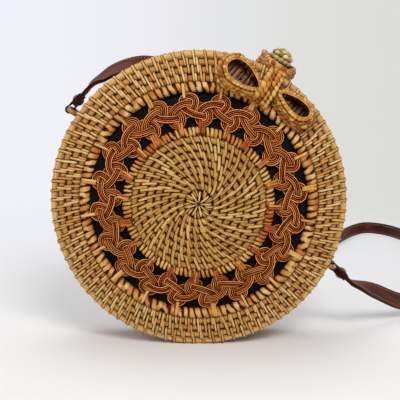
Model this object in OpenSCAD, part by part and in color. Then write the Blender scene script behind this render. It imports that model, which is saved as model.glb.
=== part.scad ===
// Round coiled-rattan shoulder bag, standing on its rim as it is photographed.
// Two coiled shells, a rear one and a lid, meet at a mouth. The lid's face is an
// openwork ring: a plait of two looped strands tied between a coiled ring and a medallion.
// The frame has the floor at z = 0, the mouth plane at y = 0 and the front at -y.

/* [Bag] */
// Outside diameter of the round bag
bag_d = 200; // [170:1:240]
// How far the bag is rolled on its rim, from clasp upright, in degrees
roll = 31; // [0:1:45]
// Gap between the two rims at the mouth
mouth_gap = 0.3; // [0.2:0.1:0.6]

/* [Coils] */
// Thickness of a coil of the shells
coil_d = 5.8; // [5:0.1:7]
// How far neighbouring coils press into each other
coil_bite = 0.2; // [0.1:0.05:0.4]
// Coils in the wall of each shell, its rim included
wall_coils = 4; // [3:1:6]
// Coils on the lid's face, from the wall to the border of the openwork
face_coils = 4; // [3:1:5]
// Thickness of a coil of the medallion
fine_coil_d = 5.3; // [4.6:0.1:6]
// Gap left round a coil that is a piece of its own
seat_gap = 0.1; // [0.05:0.05:0.2]

/* [Domes] */
// Rise of the lid's face above its wall
lid_rise = 20; // [12:1:26]
// Rise of the rear face behind its wall
back_rise = 9; // [4:1:16]
// Roundness of both domes
dome_power = 2.2; // [1.8:0.1:3]

/* [Openwork] */
// Width of the openwork, from the coil round it to the medallion
openwork_w = 23.7; // [20:0.1:27]
// Length of one loop of the plait along the ring, as a share of that width
loop_share = 0.82; // [0.78:0.01:0.86]
// Width of one strand of the plait, as a share of the width of the openwork
ply_share = 0.16; // [0.14:0.005:0.165]
// Thickness of one strand of the plait
ply_t = 1.2; // [0.9:0.1:1.4]
// Height that a strand swings over and under the other
ply_lift = 1.6; // [1.4:0.05:1.9]
// Thickness of the splint that ties a loop to the coil beside it
tie_t = 0.5; // [0.4:0.05:0.55]
// Width of that splint
tie_w = 1.4; // [1:0.1:1.5]
// Play of the tie round its strand
tie_gap = 0.2; // [0.2:0.01:0.22]

/* [Lining] */
// Thickness of the cloth lining
lining_t = 0.9; // [0.6:0.1:1.5]
// Gap between the lining and the coils
lining_gap = 0.3; // [0.2:0.1:0.6]
// How far below the mouth the lining is hemmed
lining_drop = 8.2; // [7:0.2:12]

/* [Hinge ties] */
// Distance between the two ties that hinge the lid
hinge_spread = 40; // [30:1:60]
// Width of each tie along the rim
hinge_tie_w = 9; // [6:0.5:12]
// Thickness of the tie
hinge_tie_t = 1; // [0.8:0.1:1.4]

/* [Bow] */
// Length of the left loop of the bow
bow_left_l = 34; // [26:0.5:36]
// Length of the right loop of the bow
bow_right_l = 35; // [28:0.5:40]
// Width of the left loop across its middle
bow_left_w = 21; // [17:0.5:24]
// Width of the right loop across its middle
bow_right_w = 17; // [14:0.5:20]
// How far the left loop droops towards the middle of the lid, in degrees
bow_left_droop = 14; // [0:1:18]
// How far the right loop droops towards the middle of the lid, in degrees
bow_right_droop = 7; // [0:1:18]
// Width of the woven strip that the loops are bent from
bow_strip_w = 10; // [7:0.5:12]
// Thickness of the woven strip
bow_strip_t = 3.4; // [2.6:0.1:4]
// Width of the band over the middle of the bow
band_w = 10.5; // [8:0.5:13]
// Length of the band over the middle of the bow
band_l = 24; // [21:0.5:27]
// Thickness of the band over the middle of the bow
band_t = 2.4; // [1.8:0.1:3]

/* [Clasp] */
// Diameter of the woven ball
ball_d = 16; // [13:0.5:18]
// Diameter of the stem that holds the ball
stem_d = 5; // [4:0.5:6]
// Width of the opening of the closing loop, which passes over the ball
loop_in_w = 18; // [17.5:0.5:20]
// Width of the plaited cord of the closing loop
loop_cord_w = 4.8; // [4:0.2:6]
// Thickness of that cord
loop_cord_t = 3.4; // [2.6:0.2:4]

/* [Strap] */
// Width of the leather strap
strap_w = 12; // [9:0.5:15]
// Thickness of the strap, both plies together
strap_t = 2.6; // [2.4:0.1:4]
// Thickness of the rattan of the strap rings
ring_tube_d = 3.4; // [3:0.1:4.4]
// Inside width of a strap ring
ring_in_w = 14; // [13:0.5:17]
// Length of the leather end that folds round the ring
fold_l = 13; // [13:0.5:20]
// Thickness of that leather end
fold_t = 1.3; // [1.2:0.1:2]
// Diameter of the rivet heads
rivet_d = 6; // [4:0.5:8]

/* [Hidden] */
$fn = 64;
bag_r = bag_d / 2;
coil_r = coil_d / 2;
coil_step = coil_d - coil_bite;
fine_r = fine_coil_d / 2;
fine_step = fine_coil_d - coil_bite;
rim_r = bag_r - coil_r;
rim_z = mouth_gap / 2 + coil_r;
wall_z = rim_z + (wall_coils - 1) * coil_step;
// Angle from the middle of the hinge to each hinge tie
hinge_turn = asin(hinge_spread / 2 / rim_r);
// Angle from the clasp to each strap ring
ring_turn = 87.5;
// Overrun of every cut
over = 1;
// Running gap between pieces that only lie beside each other
rest_gap = 0.3;

// Height of the dome of a face, and its slope in degrees, at a radius
function dome(r, rise) = wall_z + rise * (1 - pow(r / rim_r, dome_power));
function slope(r, rise) = atan(rise * dome_power * pow(r / rim_r, dome_power - 1) / rim_r);
// Radii of coils laid side by side along a dome, from one radius inwards
function coil_radii(r, step, rise, least) =
    r < least ? [] : concat([r], coil_radii(r - step * cos(slope(r, rise)), step, rise, least));
// A point at a radius, moved off the dome's surface along its normal
function off_dome(r, rise, away) =
    [r + away * sin(slope(r, rise)), dome(r, rise) + away * cos(slope(r, rise))];
// An oval, narrowed towards one end by a share of its width
function oval(l, w, narrow_share, steps) = [for (i = [0 : steps - 1]) let (a = 360 * i / steps)
    [l / 2 * cos(a), w / 2 * sin(a) * (1 - narrow_share * cos(a))]];
// A box with well-rounded corners
function soft_box(l, h, from, to, steps) = [for (i = [0 : steps])
    let (a = from + (to - from) * i / steps, c = cos(a), s = sin(a))
    [l / 2 * sign(c) * sqrt(abs(c)), h * sign(s) * sqrt(abs(s))]];

lid_radii = coil_radii(rim_r, coil_step, lid_rise, coil_r);
border_r = lid_radii[face_coils];
medallion_r = border_r - coil_r - openwork_w;
medallion_edge_r = medallion_r - fine_r;
medallion_radii = coil_radii(medallion_edge_r, fine_step, lid_rise, fine_r + seat_gap);
back_radii = coil_radii(rim_r, coil_step, back_rise, coil_r + seat_gap);

// The plait fills the ring between the border coil and the medallion
plait_out_r = border_r - coil_r - 2 * tie_gap - tie_t;
plait_in_r = medallion_r + 2 * tie_gap + tie_t;
plait_r = (plait_out_r + plait_in_r) / 2;
ply_w = ply_share * openwork_w;

// Puts children that are drawn round z, with the lid at +z and the clasp at +y, on the floor
module in_bag() {
    translate([0, 0, bag_r]) rotate([0, roll, 0]) rotate([90, 0, 0]) children();
}

// Coils of one thickness at given places of the section
module coils(places, r) {
    for (p = places) translate(p) circle(r = r);
}

// Half of a flat button that closes a coiled face inside its last coil
module middle(last_r, thick_r, z) {
    w = last_r - thick_r / 2;
    translate([0, z]) polygon([for (a = [-90 : 15 : 90])
        [max(w * cos(a), 0), thick_r * sign(a) * sqrt(abs(sin(a)))]]);
}

// One slot through the wall on each side of the mouth, for the hinge ties
module hinge_slots() {
    slot = hinge_tie_t + 2 * tie_gap;
    for (side = [-1, 1], face = [-1, 1]) rotate([0, 0, side * hinge_turn])
        translate([0, -rim_r, face * (rim_z + coil_r + (tie_gap + hinge_tie_t) / 2)])
            cube([hinge_tie_w + 2 * tie_gap, 2 * coil_d, slot], center = true);
}

// Slots for the splints that lash a strap ring to the wall
module lashing_slots() {
    for (side = [-1, 1], leg = [-1, 1])
        rotate([0, 0, side * ring_turn])
            translate([leg * (ring_tube_d / 2 + tie_gap + tie_t / 2), rim_r + coil_r, lashing_z])
                cube([tie_t + 2 * tie_gap, 2 * lashing_depth, lashing_w + 2 * tie_gap], center = true);
}

knob_z = -(rim_z + coil_step);
module stem_hole() {
    translate([0, rim_r - coil_d, knob_z]) rotate([-90, 0, 0])
        cylinder(d = stem_d + 2 * seat_gap, h = 2 * coil_d + over);
}

// Rear shell

// The middle of the back is worn flat, so that the bag can also lie on it
back_flat_share = 0.12;
back_flat_z = dome(0, back_rise) + coil_r * (1 - back_flat_share);
module rear_disc() {
    color("#c99b5c") in_bag() mirror([0, 0, 1]) rotate_extrude() difference() {
        union() {
            coils([for (i = [1 : len(back_radii) - 1]) [back_radii[i], dome(back_radii[i], back_rise)]],
                coil_r);
            middle(back_radii[len(back_radii) - 1], coil_r, dome(0, back_rise));
        }
        translate([rim_r, wall_z]) circle(r = coil_r + seat_gap);
        translate([0, back_flat_z]) square([bag_r, coil_d]);
    }
}

module rear_wall() {
    color("#cda063") in_bag() difference() {
        rotate_extrude() difference() {
            coils([for (i = [1 : wall_coils - 1]) [rim_r, -rim_z - i * coil_step]], coil_r);
            translate([rim_r, -rim_z]) circle(r = coil_r + seat_gap);
        }
        hinge_slots();
        lashing_slots();
        stem_hole();
    }
}

module rear_rim() {
    color("#d8b477") in_bag() difference() {
        rotate_extrude() translate([rim_r, -rim_z]) circle(r = coil_r);
        hinge_slots();
    }
}

// A cloth cup that follows the inside of a shell
module lining(rise) {
    deep = coil_r + lining_gap;
    out_r = rim_r - deep;
    steps = 14;
    function ring_at(i) = out_r * (1 - i / steps);
    function under(r, depth) = [r, dome(r, rise) - depth / cos(slope(r, rise))];
    rotate_extrude() polygon(concat(
        [[out_r - lining_t, lining_drop], [out_r, lining_drop]],
        [for (i = [0 : steps]) under(ring_at(i), deep)],
        [for (i = [steps : -1 : 0]) under(min(ring_at(i), out_r - lining_t), deep + lining_t)]));
}
module rear_lining() { color("#1d1a18") in_bag() mirror([0, 0, 1]) lining(back_rise); }
module lid_lining() { color("#1d1a18") in_bag() lining(lid_rise); }

// Lid

module lid_shell() {
    color("#cda063") in_bag() difference() {
        rotate_extrude() difference() {
            coils(concat([for (i = [1 : wall_coils - 1]) [rim_r, rim_z + i * coil_step]],
                [for (i = [1 : face_coils - 1]) [lid_radii[i], dome(lid_radii[i], lid_rise)]]), coil_r);
            translate([rim_r, rim_z]) circle(r = coil_r + seat_gap);
            translate([border_r, dome(border_r, lid_rise)]) circle(r = coil_r + seat_gap);
        }
        hinge_slots();
    }
}

module lid_rim() {
    color("#d8b477") in_bag() difference() {
        rotate_extrude() translate([rim_r, rim_z]) circle(r = coil_r);
        hinge_slots();
    }
}

module ring_border() {
    color("#d9ae6c") in_bag() rotate_extrude()
        translate([border_r, dome(border_r, lid_rise)]) circle(r = coil_r);
}

module medallion() {
    inner = [for (i = [1 : len(medallion_radii) - 1]) medallion_radii[i]];
    color("#cfa765") in_bag() rotate_extrude() difference() {
        union() {
            coils([for (r = inner) [r, dome(r, lid_rise)]], fine_r);
            middle(medallion_radii[len(medallion_radii) - 1], fine_r, dome(0, lid_rise));
        }
        translate([medallion_edge_r, dome(medallion_edge_r, lid_rise)]) circle(r = fine_r + seat_gap);
    }
}

module medallion_border() {
    color("#cf8f4e") in_bag() rotate_extrude()
        translate([medallion_edge_r, dome(medallion_edge_r, lid_rise)]) circle(r = fine_r);
}

// The plait is two closed strands that cross each other and themselves. One makes its loops
// at the inner edge (edge = -1), the other at the outer edge (edge = 1). At a turn t of its
// swing a strand lies at a radius, at a height and at an angle round the ring.
ply_loops = round(2 * PI * plait_r / (loop_share * openwork_w));
ply_reach = (plait_out_r - plait_in_r - ply_w) / 2;
swing_share = 0.74;
ply_swing = ply_reach * swing_share;
// How far a strand doubles back at its loops, as a share of a loop's length
curl_share = 0.44;
// Where the first outer loop stands, as a share of a loop's length
first_share = 0.033;
// Shares of the swing's first harmonics in the height of a strand, and its steepness at a loop
height_shares = [0.2, -0.887, -0.695, 0.129];
loop_dive = height_shares * [-1, 2, -3, 4];
ply_rings = 18 * ply_loops;
ply_sides = 6;
ply_flat_share = 0.72;
function ply_height(t) = ply_lift * height_shares * [sin(t), sin(2 * t), sin(3 * t), sin(4 * t)];
function ply_point(t, edge) =
    let (r = plait_r + edge * (ply_reach - ply_swing) + ply_swing * cos(t),
        p = off_dome(r, lid_rise, ply_height(edge < 0 ? t : t - 180)),
        a = 360 / ply_loops * (first_share - t / 360 + edge * curl_share * sin(t)))
    [p.x * cos(a), p.x * sin(a), p.y];
function unit(v) = v / norm(v);
function ply_section(t, edge, dt = 1) =
    let (c = ply_point(t, edge),
        along = unit(ply_point(t + dt, edge) - ply_point(t - dt, edge)),
        lean = slope(norm([c.x, c.y]), lid_rise),
        out = unit([c.x, c.y, 0]),
        up = out * sin(lean) + [0, 0, cos(lean)],
        across = unit(cross(up, along)),
        top = cross(along, across), f = ply_flat_share)
    [for (k = [[1, 0], [f, 1], [-f, 1], [-1, 0], [-f, -1], [f, -1]])
        c + across * k.x * ply_w / 2 + top * k.y * ply_t / 2];

// A closed or open tube of faces over rings of points
function tube_faces(rings, sides, closed) = concat(
    [for (i = [0 : rings - (closed ? 1 : 2)], k = [0 : sides - 1])
        let (j = (i + 1) % rings, n = (k + 1) % sides)
        [i * sides + k, j * sides + n, i * sides + n]],
    [for (i = [0 : rings - (closed ? 1 : 2)], k = [0 : sides - 1])
        let (j = (i + 1) % rings, n = (k + 1) % sides)
        [i * sides + k, j * sides + k, j * sides + n]],
    closed ? [] : [[for (k = [0 : sides - 1]) k],
        [for (k = [sides - 1 : -1 : 0]) (rings - 1) * sides + k]]);

module plait() {
    color("#a5532e") in_bag() for (edge = [-1, 1])
        polyhedron([for (i = [0 : ply_rings - 1]) each ply_section(360 * ply_loops * i / ply_rings, edge)],
            tube_faces(ply_rings, ply_sides, true));
}

// A ring of splint round the strand, at each loop on one edge, tilted as the strand dives there
module ties(edge) {
    r = plait_r + edge * ply_reach;
    per_turn = r / plait_r * 2 * PI * plait_r / ply_loops;
    tilt = atan(loop_dive * ply_lift / (per_turn * (curl_share - 1 / (2 * PI))));
    in_l = ply_w + 2 * tie_gap;
    in_h = ply_t + 2 * tie_gap;
    for (i = [0 : ply_loops - 1])
        rotate([0, 0, 360 / ply_loops * (i + first_share + (edge - 1) / 4)])
            translate([r, 0, dome(r, lid_rise)]) rotate([0, slope(r, lid_rise), 0])
                rotate([90 + tilt, 0, 0]) linear_extrude(tie_w, center = true) difference() {
                    square([in_l + 2 * tie_t, in_h + 2 * tie_t], center = true);
                    square([in_l, in_h], center = true);
                }
}
module outer_ties() { color("#d9b266") in_bag() ties(1); }
module inner_ties() { color("#c9783a") in_bag() ties(-1); }

// Hinge ties: splints wound round both rims, through a slot in each wall

module hinge_tie(side) {
    in_l = coil_d + 2 * tie_gap;
    in_h = 2 * (rim_z + coil_r) + tie_gap;
    in_bag() rotate([0, 0, side * hinge_turn]) translate([0, -rim_r, 0]) rotate([90, 0, 90])
        linear_extrude(hinge_tie_w, center = true) difference() {
            square([in_l + 2 * hinge_tie_t, in_h + 2 * hinge_tie_t], center = true);
            square([in_l, in_h], center = true);
        }
}
module hinge_tie_left() { color("#b98a4a") hinge_tie(-1); }
module hinge_tie_right() { color("#b98a4a") hinge_tie(1); }

// Bow on the lid, bent from a woven strip that stands on its edge

bow_share = 0.89;
bow_r = bow_share * rim_r;
bow_slope = slope(bow_r, lid_rise);
module on_bow() {
    in_bag() translate([0, bow_r, dome(bow_r, lid_rise)])
        rotate([-bow_slope, 0, 0]) translate([0, 0, coil_r + rest_gap]) children();
}
module bow_loop(l, w) {
    narrow_share = 0.35;
    translate([l / 2, 0, 0]) linear_extrude(bow_strip_w) difference() {
        polygon(oval(l, w, -narrow_share, 48));
        polygon(oval(l - 2 * bow_strip_t, w - 2 * bow_strip_t, -narrow_share, 48));
    }
}
// How far the end of a loop stands from the middle of the band that covers it
bow_tuck_share = 0.22;
module bow_side(droop) { rotate([0, 0, -droop]) translate([bow_tuck_share * band_w, 0, 0]) children(); }
module bow_left_loop() {
    color("#cf9440") on_bow() mirror([1, 0, 0]) bow_side(bow_left_droop) bow_loop(bow_left_l, bow_left_w);
}
module bow_right_loop() {
    color("#cf9440") on_bow() bow_side(bow_right_droop) bow_loop(bow_right_l, bow_right_w);
}

module bow_band() {
    in_h = bow_strip_w + 3 * rest_gap;
    color("#d6a049") on_bow() rotate([90, 0, 90]) linear_extrude(band_w, center = true) difference() {
        polygon(soft_box(band_l, in_h + band_t, 0, 180, 24));
        polygon(soft_box(band_l - 2 * band_t, in_h, 0, 180, 24));
    }
}

// Clasp: a loop on the bow that passes over a woven ball on the rear shell

// Place along the bag's axis where the end face of the band is at a radius
function band_face_z(r) = let (away = coil_r + rest_gap)
    dome(bow_r, lid_rise) + away * cos(bow_slope) - band_l / 2 * sin(bow_slope)
    + (r - bow_r - band_l / 2 * cos(bow_slope) - away * sin(bow_slope)) / tan(bow_slope);
loop_foot = bag_r + rest_gap;
loop_front_z = band_face_z(loop_foot) - rest_gap / sin(bow_slope);
// How far the loop hangs behind the ball, and the share it narrows to at the bow
loop_slack = 1.6;
loop_narrow_share = 0.3;
module loop_outline(grow) {
    small = loop_in_w / 2 * loop_narrow_share;
    hull() {
        translate([0, knob_z - loop_slack]) circle(r = loop_in_w / 2 + grow);
        translate([0, loop_front_z - loop_cord_w - small]) circle(r = small + grow);
    }
}
module closing_loop() {
    color("#c98b3c") in_bag() translate([0, loop_foot + loop_cord_t, 0]) rotate([90, 0, 0])
        linear_extrude(loop_cord_t) difference() {
            loop_outline(loop_cord_w);
            loop_outline(0);
        }
}

// The ball is flattened where it sits on its stem
knob_foot = ball_d / 2 * cos(asin(stem_d / ball_d));
knob_seat = loop_foot + loop_cord_t / 2;
module knob() {
    rows = 4;
    dip = 1.1;
    color("#a99a63") in_bag() translate([0, knob_seat + knob_foot, knob_z])
        rotate([-90, 0, 0]) rotate_extrude() polygon([for (a = [0 : 7.5 : 180])
            let (r = ball_d / 2 - dip * (1 - sqrt(abs(cos(rows * a)))))
            [max(r * sin(a), 0), max(-r * cos(a), -knob_foot)]]);
}

module knob_stem() {
    color("#8a6a3c") in_bag() translate([0, rim_r - coil_r, knob_z]) rotate([-90, 0, 0])
        cylinder(d = stem_d, h = knob_seat - rim_r + coil_r);
}

// Strap rings: closed rattan loops that stand off the wall, lashed down with a splint

lashing_z = -(rim_z + 3 / 2 * coil_step);
lashing_w = 4.2;
lashing_depth_share = 1.2;
lashing_depth = coil_r * lashing_depth_share;
ring_l = ring_in_w + ring_tube_d;
ring_foot = bag_r + rest_gap + ring_tube_d / 2;
ring_bar = ring_foot + ring_tube_d + 2 * tie_gap + tie_t + fold_t + rest_gap;
module strap_ring(side) {
    corner = (ring_bar - ring_foot) / 2;
    span = ring_l - 2 * corner;
    in_bag() rotate([0, 0, side * ring_turn]) translate([0, (ring_foot + ring_bar) / 2, lashing_z])
        rotate([0, 90, 0]) {
            for (end = [-1, 1]) translate([end * span / 2, 0, 0])
                rotate([0, 0, -end * 90]) rotate_extrude(angle = 180)
                    translate([corner, 0]) circle(d = ring_tube_d);
            for (bar = [-1, 1]) translate([-span / 2, bar * corner, 0])
                rotate([0, 90, 0]) cylinder(d = ring_tube_d, h = span);
        }
}
module strap_ring_left() { color("#b98a4a") strap_ring(1); }
module strap_ring_right() { color("#b98a4a") strap_ring(-1); }

module ring_tie(side) {
    in_w = ring_tube_d + 2 * tie_gap;
    top = ring_foot + ring_tube_d / 2 + tie_gap;
    foot = bag_r - lashing_depth + tie_gap;
    in_bag() rotate([0, 0, side * ring_turn]) translate([0, 0, lashing_z])
        linear_extrude(lashing_w, center = true) difference() {
            translate([-in_w / 2 - tie_t, foot]) square([in_w + 2 * tie_t, top + tie_t - foot]);
            translate([-in_w / 2, foot - over]) square([in_w, top - foot + over]);
        }
}
module ring_tie_left() { color("#d9b266") ring_tie(1); }
module ring_tie_right() { color("#d9b266") ring_tie(-1); }

// Strap: two plies of leather on a route from ring to ring

// Direction in which the strap leaves each ring, in degrees above +x
left_leave = 47;
right_leave = -41;
function ring_place(turn) =
    [ring_bar * sin(roll + turn), -lashing_z, bag_r + ring_bar * cos(roll + turn)];
function leave(a) = [cos(a), 0, sin(a)];
left_bar = ring_place(-ring_turn);
right_bar = ring_place(ring_turn);
strap_from = ring_tube_d / 2 + strap_t;
function end_points(bar, a) = [for (d = [strap_from, fold_l + over, fold_l + 3 * strap_t])
    concat(bar + d * leave(a), [0])];

// Places along the strap as shares of the bag's radius, and how far its width has turned
// from lying along y to standing upright, from 0 to 1
rise_shares = [[-0.695, 0.195, 1.798, 0.2], [-0.61, 0.245, 1.855, 0.3], [-0.507, 0.295, 1.896, 0.42],
    [-0.405, 0.315, 1.909, 0.65], [-0.30, 0.33, 1.896, 0.8], [-0.166, 0.38, 1.854, 0.9],
    [-0.02, 0.55, 1.68, 0.85], [0.14, 0.90, 1.34, 0.75], [0.30, 1.40, 0.92, 0.7],
    [0.48, 1.95, 0.50, 0.8], [0.72, 2.42, 0.20, 0.9], [0.98, 2.80, 0.085, 1]];
floor_shares = [[1.25, 3.16], [1.47, 3.62], [1.68, 4.06], [1.87, 4.26], [2.06, 4.10], [2.20, 3.70],
    [2.29, 3.15], [2.32, 2.55], [2.28, 1.95], [2.18, 1.42], [2.00, 0.98]];
fall_shares = [[1.78, 0.70, 0.075, 0.7], [1.52, 0.46, 0.135, 0.5], [1.29, 0.26, 0.26, 0.3]];
function in_air(shares) = [for (s = shares)
    [s.x * bag_r, s.y * bag_r, max(s.z * bag_r, strap_w / 2), s[3]]];
strap_route = concat(end_points(left_bar, left_leave), in_air(rise_shares),
    [for (s = floor_shares) [s.x * bag_r, s.y * bag_r, strap_w / 2, 1]],
    in_air(fall_shares), [for (i = [2 : -1 : 0]) end_points(right_bar, right_leave)[i]]);

// A smooth curve through the places of the route
function spline(p, i, t) =
    let (a = p[max(i - 1, 0)], b = p[i], c = p[i + 1], d = p[min(i + 2, len(p) - 1)])
    b + t / 2 * (c - a + t * (2 * a - 5 * b + 4 * c - d + t * (3 * (b - c) + d - a)));
strap_cuts = 4;
strap_line = concat([for (i = [0 : len(strap_route) - 2], k = [0 : strap_cuts - 1])
    spline(strap_route, i, k / strap_cuts)], [strap_route[len(strap_route) - 1]]);
function place(i) = [for (k = [0 : 2]) strap_line[i][k]];
function strap_length(i = 1) = i >= len(strap_line) ? 0
    : norm(place(i) - place(i - 1)) + strap_length(i + 1);

// Section of one ply: low and high are its two faces, across the thickness
function ply_corners(i, low, high) =
    let (last = len(strap_line) - 1,
        along = unit(place(min(i + 1, last)) - place(max(i - 1, 0))),
        stand = min(max(strap_line[i][3], 0), 1),
        guide = [0, 1 - stand, stand],
        wide = unit(guide - along * (guide * along)),
        thick = cross(along, wide), half = strap_w / 2, c = place(i))
    [c - wide * half + thick * low, c + wide * half + thick * low,
        c + wide * half + thick * high, c - wide * half + thick * high];
module strap_ply(low, high) {
    rings = len(strap_line);
    difference() {
        polyhedron([for (i = [0 : rings - 1]) each ply_corners(i, low, high)],
            tube_faces(rings, 4, false));
        at_end(left_bar, left_leave) rivet_hole();
        at_end(right_bar, right_leave) rivet_hole();
    }
}
ply_gap = 0.15;
module strap_outer() { color("#55281e") strap_ply(-strap_t / 2, -ply_gap); }
module strap_inner() { color("#4a231b") strap_ply(ply_gap, strap_t / 2); }

// The frame of a strap end: x along the strap, y across it, from the middle of the bar
module at_end(bar, a) { translate(bar) rotate([0, -a, 0]) children(); }
rivet_x = fold_l * 2 / 3;
rivet_hole_share = 0.45;
rivet_head_share = 0.22;
rivet_hole_d = rivet_d * rivet_hole_share;
fold_half = strap_t / 2 + ply_gap + fold_t;
module rivet_hole() {
    translate([rivet_x, 0, 0]) cylinder(d = rivet_hole_d, h = 2 * (fold_half + over), center = true);
}
module strap_fold() {
    eye_r = ring_tube_d / 2 + tie_gap;
    slit = strap_t / 2 + ply_gap;
    difference() {
        rotate([90, 0, 0]) linear_extrude(strap_w, center = true) difference() {
            union() {
                circle(r = eye_r + fold_t);
                translate([0, -fold_half]) square([fold_l, 2 * fold_half]);
            }
            circle(r = eye_r);
            translate([0, -slit]) square([fold_l + over, 2 * slit]);
        }
        rivet_hole();
    }
}
module strap_fold_left() { color("#55281e") at_end(left_bar, left_leave) strap_fold(); }
module strap_fold_right() { color("#55281e") at_end(right_bar, right_leave) strap_fold(); }

module strap_rivet() {
    head_h = rivet_d * rivet_head_share;
    head_r = (rivet_d * rivet_d / 4 + head_h * head_h) / (2 * head_h);
    translate([rivet_x, 0, 0]) {
        cylinder(d = rivet_hole_d - 2 * seat_gap, h = 2 * fold_half, center = true);
        for (side = [0, 1]) mirror([0, 0, side]) translate([0, 0, fold_half])
            rotate_extrude() intersection() {
                translate([0, head_h - head_r]) circle(r = head_r);
                square([rivet_d, head_h]);
            }
    }
}
module strap_rivet_left() { color("#b08d4a") at_end(left_bar, left_leave) strap_rivet(); }
module strap_rivet_right() { color("#b08d4a") at_end(right_bar, right_leave) strap_rivet(); }

echo(strap_length_mm = strap_length(), border_r = border_r, plait_r = plait_r,
    ply_w = ply_w, ply_reach = ply_reach, ply_loops = ply_loops);

rear_disc();
rear_wall();
rear_rim();
rear_lining();
lid_shell();
lid_rim();
ring_border();
plait();
outer_ties();
inner_ties();
medallion();
medallion_border();
lid_lining();
hinge_tie_left();
hinge_tie_right();
bow_left_loop();
bow_right_loop();
bow_band();
closing_loop();
knob();
knob_stem();
strap_ring_left();
strap_ring_right();
ring_tie_left();
ring_tie_right();
strap_outer();
strap_inner();
strap_fold_left();
strap_fold_right();
strap_rivet_left();
strap_rivet_right();
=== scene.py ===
from math import pi, sqrt, tau

import bpy
import numpy as np
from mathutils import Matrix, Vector
from numpy import cos, degrees, exp, linspace, radians, sin, tan


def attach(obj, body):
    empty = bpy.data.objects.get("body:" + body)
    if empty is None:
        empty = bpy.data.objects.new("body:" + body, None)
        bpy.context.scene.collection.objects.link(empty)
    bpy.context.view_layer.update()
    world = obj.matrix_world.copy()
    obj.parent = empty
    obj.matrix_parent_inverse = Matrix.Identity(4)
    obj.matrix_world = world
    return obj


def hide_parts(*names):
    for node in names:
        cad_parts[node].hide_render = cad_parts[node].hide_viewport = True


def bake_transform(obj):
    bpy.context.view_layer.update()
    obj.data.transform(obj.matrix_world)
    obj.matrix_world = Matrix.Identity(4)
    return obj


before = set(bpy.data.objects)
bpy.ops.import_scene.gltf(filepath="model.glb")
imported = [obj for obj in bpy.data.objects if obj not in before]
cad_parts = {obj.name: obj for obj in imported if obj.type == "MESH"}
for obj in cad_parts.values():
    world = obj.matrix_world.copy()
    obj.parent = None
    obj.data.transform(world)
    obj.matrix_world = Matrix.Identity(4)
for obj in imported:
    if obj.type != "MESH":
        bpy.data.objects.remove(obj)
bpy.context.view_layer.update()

scene = bpy.context.scene


# ---- The view
# A long lens a little above the bag, which stands on a pale floor that fades
# into an even pale background. Large soft lamps, the strongest from the right.

camera_rise, camera_away = radians(8), 0.7
looked_at = Vector((0.00088, -0.020, 0.09981))


def placed(name, data, location=(0, 0, 0)):
    """A new object in the scene; its place is in metres."""
    made = bpy.data.objects.new(name, data)
    made.location = location
    scene.collection.objects.link(made)
    return made


def formed(name, points, faces, finish):
    """A smooth mesh object of that finish; its points are in metres."""
    mesh = bpy.data.meshes.new(name)
    mesh.from_pydata(points, [], faces)
    mesh.validate()
    mesh.polygons.foreach_set("use_smooth", [True] * len(mesh.polygons))
    mesh.materials.append(finish)
    return placed(name, mesh)


lens = bpy.data.cameras.new("view")
lens.lens, lens.sensor_width = 93.04, 36
camera_way = Vector((0, -cos(camera_rise), sin(camera_rise)))
scene.camera = placed("view", lens, looked_at + camera_away * camera_way)
scene.camera.rotation_euler = (pi / 2 - camera_rise, 0, 0)
scene.view_settings.view_transform = "Standard"


def rgb(code):
    """A colour code such as 'd9b266' in linear light."""
    levels = [int(code[i:i + 2], 16) / 255 for i in (0, 2, 4)]
    return (*(c / 12.92 if c < 0.04045 else ((c + 0.055) / 1.055) ** 2.4 for c in levels), 1)


class Value:
    """An output socket in a material; arithmetic on it adds the nodes."""

    def __init__(self, tree, socket):
        self.tree, self.socket = tree, socket

    def node(self, kind, values=(), out=0, stops=None, **settings):
        """A node of that kind: its settings, then the values or links of its sockets."""
        made = self.tree.nodes.new("ShaderNode" + kind)
        for name, value in settings.items():
            setattr(made, name, value)
        if stops:
            ramp = made.color_ramp
            while len(ramp.elements) < len(stops):
                ramp.elements.new(1)
            for element, (place, code) in zip(ramp.elements, stops.items()):
                element.position, element.color = place, rgb(code)
        for name, value in dict(values).items():
            if isinstance(value, Value):
                self.tree.links.new(value.socket, made.inputs[name])
            else:
                made.inputs[name].default_value = value
        return Value(self.tree, made.outputs[out])

    def maths(self, operation, *values, clamp=False):
        return self.node("Math", enumerate(values), operation=operation, use_clamp=clamp)

    def __add__(self, other): return self.maths("ADD", self, other)
    def __sub__(self, other): return self.maths("SUBTRACT", self, other)
    def __rsub__(self, other): return self.maths("SUBTRACT", other, self)
    def __mul__(self, other): return self.maths("MULTIPLY", self, other)
    __radd__, __rmul__ = __add__, __mul__

    def clamped(self): return self.maths("ADD", self, 0, clamp=True)

    def mix(self, a, b):
        """Colour a where this value is 0 and b where it is 1."""
        ends = {6 + i: c if isinstance(c, Value) else rgb(c) for i, c in enumerate((a, b))}
        return self.node("Mix", {0: self, **ends}, 2, data_type="RGBA")

    def between(self, low, high, kind="SMOOTHSTEP"):
        """0 where this value is low and 1 where it is high."""
        return self.node("MapRange", {0: self, 1: low, 2: high}, interpolation_type=kind)

    def stretched(self, x, y, z):
        """This vector, scaled along its three directions."""
        return self.node("VectorMath", {0: self, 1: (x, y, z)}, operation="MULTIPLY")

    def noise(self, scale, detail=2, roughness=0.5):
        return self.node("TexNoise", {"Vector": self, "Scale": scale, "Detail": detail,
                                      "Roughness": roughness})

    def strand(self):
        """What Work keeps for the material: grain, a vector, and the numbers tint and deep."""
        return [self.node("Attribute", out="Vector" if name == "grain" else "Fac", attribute_name=name)
                for name in ("grain", "tint", "deep")]


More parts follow.
